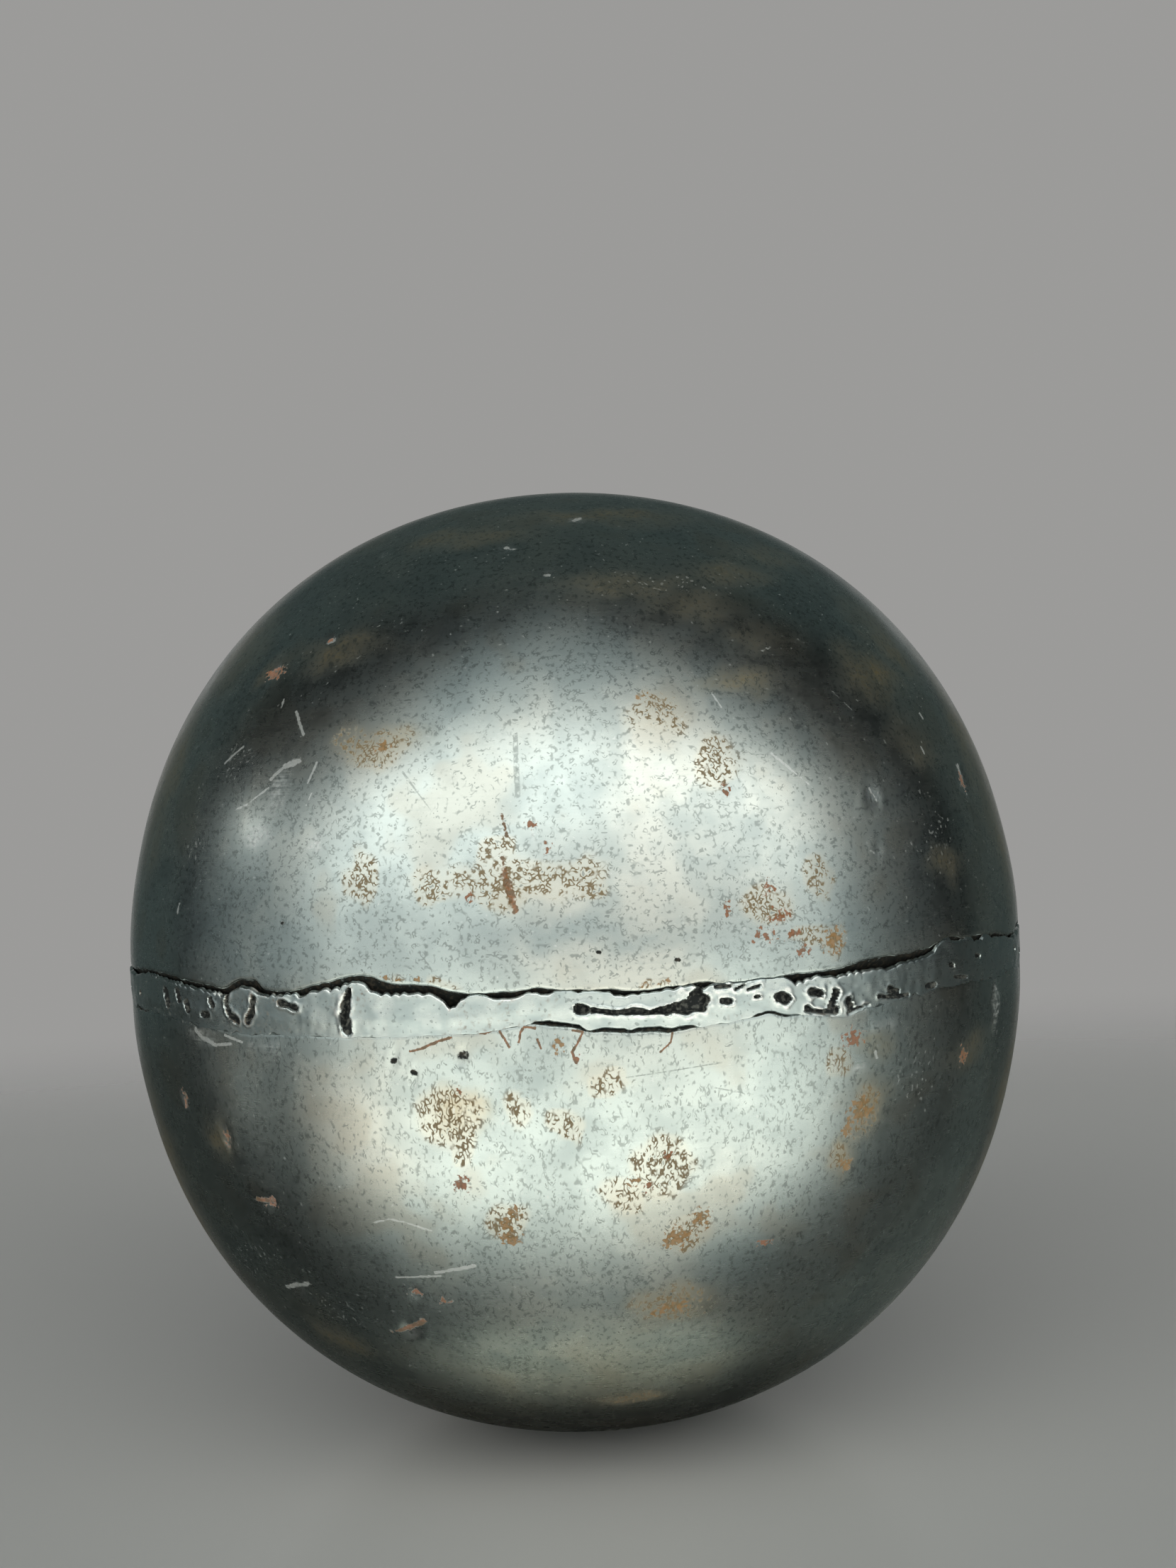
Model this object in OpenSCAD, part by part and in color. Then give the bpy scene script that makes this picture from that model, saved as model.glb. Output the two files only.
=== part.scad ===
// Hollow steel ball: two pressed half shells, butt welded round the middle.
// Millimetres. The origin is the middle of the ball and +Z is the pressing axis.
// Azimuths are degrees from the front (-Y) towards +X, latitudes degrees from the weld.

/* [Ball] */
// Outside diameter of the ball
ball_d = 150; // [100:1:220]
// Thickness of the pressed steel sheet
wall = 3; // [2:0.1:5]
// Straight skirt of each half, from the middle plane to the start of its dome
skirt_h = 4; // [3:0.1:10]

/* [Weld groove] */
// Width of the groove at the outer face
groove_w = 6.4; // [4:0.1:9]
// Gap between the two halves at the root
root_gap = 1; // [0.5:0.1:2]
// Square land left at the root of each bevel
root_face = 0.8; // [0.4:0.1:1.2]

/* [Weld bead] */
// Height of the ground bead above the outer face
bead_proud = 0.3; // [0.1:0.05:0.6]
// Weld metal that pushed through inside the root
root_proud = 0.6; // [0.2:0.1:1.2]
// Widest plain stretch of the unfilled crevice along the upper toe
toe_gap = 0.9; // [0.3:0.1:1.4]
// Depth of that crevice below the outer face
toe_depth = 1.1; // [0.5:0.1:1.2]
// Clearance between the bead and the groove that it fills
weld_clear = 0.02; // [0.01:0.01:0.1]
// Pores along the rear of the seam
rear_pores = 16; // [0:1:30]

/* [Hidden] */
$fn = 180;

ball_r = ball_d / 2;
inner_r = ball_r - wall;
bevel_foot_r = inner_r + root_face;
bevel_slope = (groove_w - root_gap) / 2 / (wall - root_face);
// How far a cut runs past the faces that it cuts
cut_over = 1;

// Stations of the bead round the seam
bead_stations = 300;
// Part of the groove's half width at which the lower shoulder of the bead lies
lower_shoulder = 0.6;
// Sides of the ball-ended cutter that makes a pore
pore_sides = 8;
// Azimuths between which the rear pores lie
rear_from = 66;
rear_to = 296;
// Fixed seed, so that the rear pores keep their places
rear_seed = 11;

// Notches in the upper toe: azimuth, half width in degrees, depth
toe_notches = [
    [-35.5, 1.5, 0.8],
    [-17.5, 6, 0.7],
    [-12.8, 1.3, 1.8],
    [-6, 2.5, 0.5],
    [4, 3, 0.8],
    [12.5, 1.2, 1.4],
    [26.5, 4, 0.5],
    [34, 3.4, 1.2],
    [52, 2, 0.6],
];

// Pores and slots in the bead, each a path of azimuth, place across the bead
// (-1 at the lower toe, 1 at the upper edge of the groove) and width
pore_paths = [
    [[-55.3, 0.15, 0.9], [-54.6, -0.05, 0.9]],
    [[-49.4, 0, 0.6], [-49, -0.25, 0.6]],
    [[-46.2, -0.55, 0.7], [-45.2, -0.57, 0.6]],
    [[-44.8, 0.1, 0.9], [-44.3, -0.1, 0.8]],
    [[-41.8, 0.75, 1.1], [-41.6, 0.1, 0.9], [-41, -0.62, 1], [-39.6, -0.72, 0.9]],
    [[-37.6, -0.65, 1.2], [-37.4, 0.3, 1.3]],
    [[-33.2, 0.2, 0.9], [-32.3, 0.12, 0.7], [-31.6, 0.18, 0.8]],
    [[-24.6, 0.7, 1.3], [-24.4, 0, 1.7], [-24.5, -0.85, 1.2]],
    [[-4.8, -0.9, 0.4], [-2, -0.92, 0.4], [0, -0.94, 0.4]],
    [[0.4, -0.16, 0.9], [3.6, -0.27, 0.5], [7, -0.27, 0.9], [10, -0.22, 1.5], [13.4, -0.17, 1]],
    [[11.6, 0.25, 1.3], [11.7, -0.6, 1.6]],
    [[4, -0.93, 0.45], [7.5, -0.93, 0.45], [11.5, -0.93, 0.4]],
    [[14.8, -0.19, 0.7], [15.8, -0.2, 0.7]],
    [[20.9, -0.28, 1.9], [21.7, -0.28, 1.9]],
    [[25.2, -0.25, 1.3], [26, -0.25, 1.3]],
    [[27.4, -0.25, 1.2], [28, -0.75, 1.2]],
    [[29.5, -0.8, 1.5], [31.6, -0.85, 1.6]],
    [[36.3, -0.72, 0.9], [38.4, -0.78, 0.9]],
    [[42, -0.62, 0.8], [42.7, -0.62, 0.8]],
];

// Dings in the domes: azimuth, latitude, width, depth
upper_dings = [
    [37, 17, 6, 0.3],
    [36, 11, 3, 0.2],
    [58, 18, 5, 0.3],
    [-45, 36, 3, 0.25],
    [-36, 40, 2.5, 0.2],
    [-40, 56, 3, 0.2],
    [-10, 54, 3, 0.2],
    [-2, 48, 2.5, 0.2],
    [5, 61, 3.5, 0.2],
    [-4, 16, 3, 0.2],
];
lower_dings = [
    [-53, 8, 3, 0.25],
    [-45, 12, 3, 0.25],
    [-40, 19, 3, 0.2],
    [-42, 31, 3.5, 0.25],
    [-25, 35, 4, 0.3],
    [-22, 29, 2.5, 0.2],
];

// Height of the upper bevel at a radius
function bevel_z(r) = root_gap / 2 + (r - bevel_foot_r) * bevel_slope;

// Signed turn from azimuth b to azimuth a, -180 to 180
function turn(a, b) = (a - b + 540) % 360 - 180;

// Soft bump of height 1 at x = 0 that ends at x = -1 and x = 1
function bump(x) = abs(x) < 1 ? pow(1 - x * x, 2) : 0;

function sum(list, i = 0) = i < len(list) ? list[i] + sum(list, i + 1) : 0;

// Irregular lobes of the upper toe, from 0 to 1
function lobes(a) = 0.5 + 0.3 * sin(29 * a + 40) + 0.2 * sin(67 * a + 10);

// Width of the crevice between the bead and the upper bevel
function crevice(a) =
    weld_clear + toe_gap * lobes(a)
    + sum([for (n = toe_notches) n[2] * bump(turn(a, n[0]) / n[1])]);

// Depth of the crevice: shallow where the bead nearly fills the groove
function crevice_depth(a) = toe_depth * min(1, crevice(a) / toe_gap);

// Height of the ground crown, with what the grinder left of the ripples
function crown(a) = bead_proud * (0.85 + 0.15 * sin(41 * a));

// Weld metal that pushed through at the root
function root_drop(a) = root_proud * (0.7 + 0.3 * sin(53 * a));

// Section of the bead at an azimuth, as points of radius and height
function bead_section(a) = let (
    half_w = groove_w / 2,
    half_gap = root_gap / 2 - weld_clear,
    shoulder_z = half_w - crevice(a),
    floor_r = ball_r - crevice_depth(a),
    bed_r = (floor_r + bevel_foot_r) / 2
) [
    [inner_r - root_drop(a), 0],
    [inner_r, -half_gap],
    [bevel_foot_r, -half_gap],
    [ball_r, weld_clear - half_w],
    [ball_r + crown(a), -lower_shoulder * half_w],
    [ball_r + bead_proud, (shoulder_z - lower_shoulder * half_w) / 2],
    [ball_r + crown(a) / 2, shoulder_z],
    [floor_r, bevel_z(floor_r) - crevice(a) / 2],
    [bed_r, bevel_z(bed_r) - weld_clear],
    [bevel_foot_r, half_gap],
    [inner_r, half_gap],
];

// Place at an azimuth, radius and height
function around(a, r, z) = [r * sin(a), -r * cos(a), z];

// Section of one half: dome, straight skirt and bevelled weld edge
module half_section() {
    difference() {
        union() {
            translate([0, skirt_h])
            intersection() {
                difference() {
                    circle(r = ball_r);
                    circle(r = inner_r);
                }
                square(ball_r + cut_over);
            }
            translate([inner_r, 0])
            square([wall, skirt_h]);
        }
        polygon([
            [inner_r - cut_over, -cut_over],
            [inner_r - cut_over, root_gap / 2],
            [bevel_foot_r, root_gap / 2],
            [ball_r + cut_over, bevel_z(ball_r + cut_over)],
            [ball_r + cut_over, -cut_over],
        ]);
    }
}

// Shallow round ding in a dome
module ding(azimuth, latitude, width, depth) {
    cutter_r = (width * width / 4 + depth * depth) / (2 * depth);
    reach = ball_r + cutter_r - depth;
    translate([0, 0, skirt_h] + around(azimuth, reach * cos(latitude), reach * sin(latitude)))
    sphere(r = cutter_r);
}

// One pressed half, dome up, with its dings
module half_shell(dings) {
    difference() {
        rotate_extrude() half_section();
        for (d = dings) ding(d[0], d[1], d[2], d[3]);
    }
}

// Slot cut along a path of azimuth, place across the bead and width
module pore(path) {
    for (i = [0 : len(path) - 2])
        hull()
        for (p = [path[i], path[i + 1]])
            translate(around(p[0], ball_r + bead_proud / 2, p[1] * groove_w / 2))
            sphere(d = p[2], $fn = pore_sides);
}

// Pores along the rear of the seam, at places drawn from the fixed seed
module rear_pore_cutters() {
    draw = rands(-1, 1, 4 * max(rear_pores, 1), rear_seed);
    step = (rear_to - rear_from) / max(rear_pores, 1);
    for (k = [0 : 1 : rear_pores - 1]) {
        azimuth = rear_from + step * (k + 0.5 + 0.35 * draw[4 * k]);
        across = -0.2 + 0.5 * draw[4 * k + 1];
        width = 1.1 + 0.5 * draw[4 * k + 2];
        pore([
            [azimuth, across, width],
            [azimuth + 0.9, across + 0.3 * draw[4 * k + 3], width],
        ]);
    }
}

// Bead ring without its pores
module bead_ring() {
    stations = [for (i = [0 : bead_stations - 1]) bead_section(i * 360 / bead_stations)];
    count = len(stations[0]);
    points = [
        for (i = [0 : bead_stations - 1])
        for (p = stations[i]) around(i * 360 / bead_stations, p[0], p[1])
    ];
    faces = [
        for (i = [0 : bead_stations - 1])
        for (j = [0 : count - 1])
        let (
            next_i = (i + 1) % bead_stations,
            next_j = (j + 1) % count,
            a = i * count + j,
            b = next_i * count + j,
            c = next_i * count + next_j,
            d = i * count + next_j
        )
        each [[a, d, c], [a, c, b]]
    ];
    polyhedron(points, faces);
}

module upper_half_shell() {
    color([0.40, 0.45, 0.44])
    half_shell(upper_dings);
}

module lower_half_shell() {
    color([0.36, 0.41, 0.40])
    mirror([0, 0, 1])
    half_shell(lower_dings);
}

module weld_bead() {
    color([0.55, 0.58, 0.56])
    difference() {
        bead_ring();
        for (path = pore_paths) pore(path);
        rear_pore_cutters();
    }
}

upper_half_shell();
lower_half_shell();
weld_bead();
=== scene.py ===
import math

import bpy
import numpy as np
from mathutils import Matrix, Vector, noise


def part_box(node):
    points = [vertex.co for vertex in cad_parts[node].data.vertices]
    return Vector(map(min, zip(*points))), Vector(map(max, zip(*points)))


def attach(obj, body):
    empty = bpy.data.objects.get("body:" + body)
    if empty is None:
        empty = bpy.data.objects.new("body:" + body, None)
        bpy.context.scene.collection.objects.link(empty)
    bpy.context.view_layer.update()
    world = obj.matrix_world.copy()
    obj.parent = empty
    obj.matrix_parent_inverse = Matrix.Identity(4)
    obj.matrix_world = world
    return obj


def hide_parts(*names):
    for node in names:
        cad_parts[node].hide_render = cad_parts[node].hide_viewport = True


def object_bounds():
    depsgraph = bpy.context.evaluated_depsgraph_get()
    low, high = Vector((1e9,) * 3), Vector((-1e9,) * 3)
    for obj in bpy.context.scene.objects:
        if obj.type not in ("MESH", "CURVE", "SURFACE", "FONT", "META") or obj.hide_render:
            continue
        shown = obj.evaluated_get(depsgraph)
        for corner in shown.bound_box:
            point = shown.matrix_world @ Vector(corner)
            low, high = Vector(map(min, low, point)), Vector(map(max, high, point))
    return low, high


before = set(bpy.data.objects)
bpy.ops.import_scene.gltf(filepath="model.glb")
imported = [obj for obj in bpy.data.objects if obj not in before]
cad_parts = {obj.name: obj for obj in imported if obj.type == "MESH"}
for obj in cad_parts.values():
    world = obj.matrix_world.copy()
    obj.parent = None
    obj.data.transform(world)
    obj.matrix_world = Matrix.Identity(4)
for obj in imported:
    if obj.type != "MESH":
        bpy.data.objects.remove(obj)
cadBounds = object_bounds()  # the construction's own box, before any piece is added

mm = 0.001
scene = bpy.context.scene

# Lengths below are millimetres. Azimuths are degrees from the front (-Y) towards +X,
# latitudes are degrees above or below the start of each dome.
shellLow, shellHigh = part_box("upper_half_shell")
ballR = (shellHigh.x - shellLow.x) / 2 / mm
skirtTop = shellHigh.z / mm - ballR  # where the straight skirt ends and the dome starts
rootHalf = shellLow.z / mm  # half of the gap at the root of the weld
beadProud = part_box("weld_bead")[1].x / mm - ballR
floorLevel = cadBounds[0].z
perDegree = ballR * math.pi / 180  # millimetres round the ball in one degree
evenReach = 1.2  # half widths, for marks that fall evenly
longestLine = 4  # degrees; a longer drawn mark is cut up so that it follows the dome
print(f"frame: ball radius {ballR:.2f} mm, skirt {skirtTop:.2f} mm, bead {beadProud:.2f} mm proud")


def smooth(start, end, value):
    share = np.clip((value - start) / (end - start), 0, 1)
    return share * share * (3 - 2 * share)


def wrapTurn(degrees):
    return (degrees + 180) % 360 - 180


def lumps(points, size, seed):
    return np.array([noise.noise((x / size, y / size, z / size + seed)) for x, y, z in points])


def ringPoints(azimuths, radius, height):
    turn = np.radians(azimuths)
    places = np.broadcast_arrays(radius * np.sin(turn), -radius * np.cos(turn), height)
    return np.stack(places, axis=-1)


# a line known at some places only, as (place, value)
def lineAt(places, known):
    knownPlaces, values = np.array(known).T
    return np.interp(places, knownPlaces, values)


def between(start, end, share):
    return [a + (b - a) * share for a, b in zip(start, end)]


def aim(azimuth, latitude):
    a, b = math.radians(azimuth), math.radians(latitude)
    return Vector((math.sin(a) * math.cos(b), -math.cos(a) * math.cos(b), math.sin(b)))


# millimetres over a dome from one place on it, round the ball and up or down it
def overDome(azimuths, latitudes, azimuth, latitude):
    across = wrapTurn(azimuths - azimuth) * math.cos(math.radians(latitude)) * perDegree
    return across, (latitudes - latitude) * perDegree


# Marks are (azimuth, latitude, half width, half height). The field is 1 in the middle and 0 outside:
# level as far as core, or, where core is None, falling evenly to 0 at evenReach half widths
def markField(azimuths, latitudes, marks, core):
    total = np.zeros(len(azimuths))
    for azimuth, latitude, halfWidth, halfHeight in marks:
        across, along = overDome(azimuths, latitudes, azimuth, latitude)
        away = np.hypot(across / halfWidth, along / halfHeight)
        field = 1 - away / evenReach if core is None else 1 - smooth(core, 1, away)
        total = np.maximum(total, field)
    return total


class Wire:
    def __init__(self, paint, socket):
        self.paint = paint
        self.socket = socket

    def join(self, operation, first, second=0.0, clamped=False):
        settings = {"operation": operation, "use_clamp": clamped}
        return self.paint.add("ShaderNodeMath", settings, {0: first, 1: second})

    def __add__(self, other):
        return self.join("ADD", self, other)

    def __radd__(self, other):
        return self.join("ADD", other, self)

    def __sub__(self, other):
        return self.join("SUBTRACT", self, other)

    def __rsub__(self, other):
        return self.join("SUBTRACT", other, self)

    def __mul__(self, other):
        return self.join("MULTIPLY", self, other)

    def __rmul__(self, other):
        return self.join("MULTIPLY", other, self)

    def __truediv__(self, other):
        return self.join("DIVIDE", self, other)

    def __rtruediv__(self, other):
        return self.join("DIVIDE", other, self)

    def __abs__(self):
        return self.join("ABSOLUTE", self)

    def most(self, other):
        return self.join("MAXIMUM", self, other)

    def least(self, other):
        return self.join("MINIMUM", self, other)

    def clamp(self):
        return self.join("ADD", self, 0.0, clamped=True)

    # 0 where the value is at start and 1 where it is at end; start may be the larger
    def step(self, start, end):
        low, high = min(start, end), max(start, end)
        first, last = (0.0, 1.0) if start < end else (1.0, 0.0)
        sockets = {"Value": self, "From Min": low, "From Max": high, "To Min": first, "To Max": last}
        return self.paint.add("ShaderNodeMapRange", {"interpolation_type": "SMOOTHSTEP"}, sockets)


class Paint:
    def __init__(self, owner):
        owner.use_nodes = True
        self.owner = owner
        self.nodes = owner.node_tree.nodes
        self.links = owner.node_tree.links
        self.nodes.clear()

    def socketOf(self, group, key):
        if isinstance(key, int):
            return group[key]
        return next(socket for socket in group if key in (socket.identifier, socket.name))

    # any node: its type, its settings first, then the values or links of its sockets
    def add(self, kind, settings=None, sockets=None, output=0):
        node = self.nodes.new(kind)
        for key, value in (settings or {}).items():
            setattr(node, key, value)
        for key, value in (sockets or {}).items():
            socket = self.socketOf(node.inputs, key)
            if isinstance(value, Wire):
                self.links.new(value.socket, socket)
            else:
                socket.default_value = value
        return Wire(self, self.socketOf(node.outputs, output)) if node.outputs else None

    def mix(self, share, first, second):
        ends = [value if isinstance(value, Wire) else (*value, 1.0) for value in (first, second)]
        sockets = {"Factor_Float": share, "A_Color": ends[0], "B_Color": ends[1]}
        return self.add("ShaderNodeMix", {"data_type": "RGBA"}, sockets, "Result_Color")

    def vectors(self, operation, sockets, output=0):
        return self.add("ShaderNodeVectorMath", {"operation": operation}, sockets, output)

    # the place on the piece, in millimetres
    def place(self):
        spot = self.add("ShaderNodeTexCoord", output="Object")
        return self.vectors("SCALE", {0: spot, "Scale": 1 / mm})

    def stretched(self, vector, factors, shift=(0.0, 0.0, 0.0)):
        return self.vectors("MULTIPLY_ADD", {0: vector, 1: factors, 2: shift})

    def cloud(self, vector, size, detail=0.0):
        sockets = {"Vector": vector, "Scale": 1 / size, "Detail": detail}
        return self.add("ShaderNodeTexNoise", None, sockets)

    def field(self, name):
        return self.add("ShaderNodeAttribute", {"attribute_name": name}, output="Fac")

    def dot(self, vector, direction):
        return self.vectors("DOT_PRODUCT", {0: vector, 1: direction}, "Value")

    # how far a place lies from the nearest of the marks, as a share of their half width
    # each mark runs through places of (azimuth, latitude, half width) on a dome round centre
    def fromMarks(self, vector, centre, marks):
        nearest = None
        for mark in marks:
            for start, end in zip(mark, mark[1:]):
                degrees = math.hypot(end[0] - start[0], end[1] - start[1])
                steps = max(1, math.ceil(degrees / longestLine))
                for step in range(steps):
                    first = between(start, end, step / steps)
                    last = between(start, end, (step + 1) / steps)
                    share = self.fromLine(vector, centre, first, last)
                    nearest = share if nearest is None else nearest.least(share)
        return nearest

    def fromLine(self, vector, centre, first, last):
        base = centre + aim(*first[:2]) * ballR
        run = centre + aim(*last[:2]) * ballR - base
        along = (self.dot(vector, run / run.length_squared) - base.dot(run) / run.length_squared).clamp()
        foot = self.stretched(along, run, base)
        away = self.vectors("DISTANCE", {0: vector, 1: foot}, "Value")
        return away / ((first[2] + last[2]) / 2)

    def cover(self, shader):
        self.add("ShaderNodeOutputMaterial", None, {"Surface": shader})
        return self.owner

    def surface(self, values):
        return self.cover(self.add("ShaderNodeBsdfPrincipled", None, values))

    # 1 for rays of the named kinds, as the camera's own
    def rays(self, *kinds):
        total = self.add("ShaderNodeLightPath", output=kinds[0])
        for kind in kinds[1:]:
            total = total + self.add("ShaderNodeLightPath", output=kind)
        return total.clamp()


def newPaint(name):
    return Paint(bpy.data.materials.new(name))


def newMesh(name, points, faces, fields=None):
    mesh = bpy.data.meshes.new(name)
    mesh.from_pydata((np.asarray(points) * mm).tolist(), [], faces)
    mesh.polygons.foreach_set("use_smooth", [True] * len(mesh.polygons))
    for key, values in (fields or {}).items():
        attribute = mesh.attributes.new(key, "FLOAT", "POINT")
        attribute.data.foreach_set("value", np.asarray(values, dtype=np.float32))
    piece = bpy.data.objects.new(name, mesh)
    scene.collection.objects.link(piece)
    return piece


# The seam: its lines round the ball as (azimuth, height), read along the front.
# Past frontReach degrees either way it goes on by a rule of the same kind.
seamLook = {
    "columns": 960,
    "frontReach": 66,
    "frontFade": 8,
    "upperEdge": [
        (-71, 4.2), (-65, 4.2), (-60.5, 4.1), (-54, 3.8), (-49.7, 3.3), (-46.5, 3.1), (-43.1, 2.8),
        (-41.8, 2.6), (-41, 3.5), (-39.5, 4.2), (-37.4, 4.3), (-36.4, 3.6), (-35.2, 2.8),
        (-32.9, 2.8), (-30.5, 3.1), (-29.3, 3.7), (-27, 4.2), (-24.8, 5.0), (-23.4, 5.2),
        (-21.8, 5.1), (-20.7, 4.4), (-19.3, 4.0), (-15.8, 3.9), (-14.2, 3.5), (-13.3, 3.0),
        (-12.2, 2.7), (-6, 2.7), (-4.8, 3.1), (-3.6, 3.2), (-2.7, 2.9), (0.8, 2.6), (3.2, 2.6),
        (4.4, 2.2), (6.5, 2.1), (9.6, 2.4), (13.4, 2.7), (14.6, 2.4), (17.6, 2.4), (19.3, 2.6),
        (27.9, 2.6), (29.5, 2.8), (31.5, 3.3), (33.6, 3.6), (38.2, 3.6), (42.8, 3.8), (45.2, 4.9),
        (47, 4.9), (51.1, 4.2), (54.4, 4.2), (59.3, 3.6), (70, 3.4),
    ],
    "beadLip": [
        (-71, 3.8), (-65.5, 3.9), (-60.6, 3.5), (-54.2, 3.15), (-49.8, 2.7), (-46.6, 2.5),
        (-43.2, 2.1), (-41.9, 1.8), (-41, 2.5), (-39.3, 3.4), (-37.7, 3.3), (-36.6, 2.6),
        (-35, 2.25), (-32.9, 2.5), (-31.1, 2.75), (-30.4, 2.1), (-29.7, 2.9), (-28.2, 3.3),
        (-26.3, 3.5), (-25.4, 3.8), (-24.5, 4.4), (-23.4, 4.7), (-22.6, 4.4), (-22.1, 3.4),
        (-21.1, 2.9), (-19.4, 2.8), (-17.4, 2.95), (-16.2, 3.0), (-14.9, 2.75), (-14, 2.0),
        (-13.5, 1.2), (-13.1, 0.5), (-12.6, 1.3), (-11.8, 2.2), (-10.5, 2.7), (-9.6, 2.5),
        (-8.7, 2.1), (-6.3, 2.0), (-5.7, 2.5), (-4.5, 2.8), (-3.6, 2.5), (-3, 2.3), (-2.4, 2.7),
        (-0.7, 2.65), (0.2, 2.4), (0.8, 2.5), (2.6, 2.4), (3.5, 2.1), (4.1, 1.5), (4.7, 1.8),
        (6.5, 1.8), (7.7, 2.0), (9.6, 2.1), (10.8, 2.3), (12.1, 2.5), (12.7, 1.9), (13.4, 2.3),
        (14.0, 2.4), (19.3, 2.6), (22, 2.55), (22.5, 2.1), (23.3, 1.4), (24.1, 1.8), (25.6, 2.1),
        (26.5, 2.3), (27.3, 1.7), (28.1, 2.0), (28.8, 1.8), (29.8, 2.1), (31.4, 2.2), (33.6, 2.2),
        (35.8, 1.9), (36.7, 2.3), (39.1, 2.6), (41.2, 2.8), (42.9, 3.2), (44, 4.1), (45.3, 4.3),
        (47, 4.2), (48.7, 4.2), (51.1, 3.3), (54.3, 3.6), (59.3, 3.2), (70, 3.0),
    ],
    # depth of the round lobes of the bead's lip, and where its crevice is closed: (azimuth, half width)
    "lobes": [
        (-66, 0.2), (-60, 0.3), (-44, 0.35), (-40, 0.1), (-33, 0.2), (-29, 0.3), (-22, 0.35),
        (-13, 0.3), (-11, 0.05), (-6, 0.05), (2, 0.2), (13, 0.15), (14, 0), (21, 0), (23, 0.25),
        (29, 0.45), (33, 0.2), (44, 0.1), (66, 0.1),
    ],
    "lobePitch": 1.6,
    "leastGap": 0.06,  # the crevice where it is closed
    "breaks": [(1.4, 0.5), (10.6, 0.4), (45.2, 1.8), (50.6, 1.5), (55.4, 1.6)],
    "lowerToe": [
        (-70, -2.5), (-55, -2.5), (-48, -3.2), (-40, -3.4), (-30, -3.2), (-24.5, -3.2),
        (-10, -2.6), (-6, -1.8), (-4.4, -1.5), (-2, -2.1), (-0.5, -2.1), (0.5, -2.9), (3.6, -3.1),
        (7.6, -3.4), (9.1, -3.6), (12.5, -3.2), (15, -3.0), (18.4, -2.5), (19.4, -2.1),
        (20.6, -2.4), (21.5, -2.9), (23.6, -2.9), (27, -3.6), (29.6, -3.9), (32.4, -3.2),
        (38.4, -2.6), (43, -2.2), (50, -2.4), (60, -3.0),
    ],
    "lowerSlit": [
        (-5, 0), (-4.4, 0.25), (-3, 0.5), (-1.5, 0.35), (0, 0.4), (0.6, 0.1), (1.5, 0.3),
        (3.4, 0.35), (5.4, 0.3), (7, 0.45), (9, 0.5), (9.6, 0.3), (11, 0.35), (12.6, 0), (18.2, 0),
        (18.6, 0.2), (20.5, 0.25), (22, 0.2), (23.8, 0),
    ],
    # height round the rear, its swing, the fine swing all round, roundings, seed
    "rules": {
        "upperEdge": (3.2, 0.9, 0.12, 4, 1),
        "beadLip": (2.5, 1.0, 0.08, 1, 2),
        "lowerToe": (-3.1, 0.7, 0.15, 2, 3),
        "lowerSlit": (-0.1, 0.6, 0.12, 0, 4),
    },
}


def seamLine(name):
    middle, swing, fineSwing, roundings, seed = seamLook["rules"][name]
    places = ringPoints(rimAzimuths, ballR, 0.0)
    rear = middle + swing * (lumps(places, 9, seed) + 0.4 * lumps(places, 3, seed + 9))
    reach = seamLook["frontReach"]
    share = smooth(reach - seamLook["frontFade"], reach, np.abs(rimAzimuths))
    front = lineAt(rimAzimuths, seamLook[name])
    for _ in range(roundings):
        front = (np.roll(front, 1) + 2 * front + np.roll(front, -1)) / 4
    fine = lumps(places, 1.8, seed + 5) + 0.7 * lumps(places, 0.9, seed + 6)
    fine = fine * (1 + smooth(28, 40, np.abs(rimAzimuths)))  # rougher away from the middle of the front
    return front * (1 - share) + rear * share + fineSwing * fine


rimStart = 45  # a corner of each dome's grid, from where its rim runs once round
rimCount = seamLook["columns"]
rimAzimuths = wrapTurn(rimStart + np.arange(rimCount) * 360 / rimCount)
leastGap = seamLook["leastGap"]
upperEdge = seamLine("upperEdge")
upperGap = np.maximum(upperEdge - seamLine("beadLip"), leastGap)
for azimuth, halfWidth in seamLook["breaks"]:
    away = np.abs(wrapTurn(rimAzimuths - azimuth)) / halfWidth
    upperGap = leastGap + (upperGap - leastGap) * smooth(0.4, 1.0, away)
lowerToe = seamLine("lowerToe")
lowerSlit = np.maximum(seamLine("lowerSlit"), 0.0)
print("seam: lines laid round the ball")


# A disc of squares, the same number round its rim on every side, for a dome with no pinched pole
def discGrid(sides):
    line = np.linspace(-1, 1, sides + 1)
    x, y = np.meshgrid(line, line, indexing="ij")
    wide = np.abs(x) > np.abs(y)
    reach = np.where(wide, x, y)
    other = np.where(wide, y, x)
    turn = math.pi / 4 * np.divide(other, reach, out=np.zeros_like(reach), where=reach != 0)
    angle = np.where(wide, turn, math.pi / 2 - turn) + np.where(reach < 0, math.pi, 0)
    return np.abs(reach).ravel(), wrapTurn(np.degrees(angle).ravel() + 90)


def discNumbers(sides, first):
    return (np.arange((sides + 1) ** 2) + first).reshape(sides + 1, sides + 1)


def discRim(numbers):
    return np.concatenate([numbers[-1, :-1], numbers[:0:-1, -1], numbers[0, :0:-1], numbers[:-1, 0]])


def gridFaces(numbers):
    corners = [numbers[:-1, :-1], numbers[1:, :-1], numbers[1:, 1:], numbers[:-1, 1:]]
    return np.stack([corner.ravel() for corner in corners], axis=1)


def bandFaces(upper, lower):
    return np.stack([upper, lower, np.roll(lower, -1), np.roll(upper, -1)], axis=1)


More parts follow.
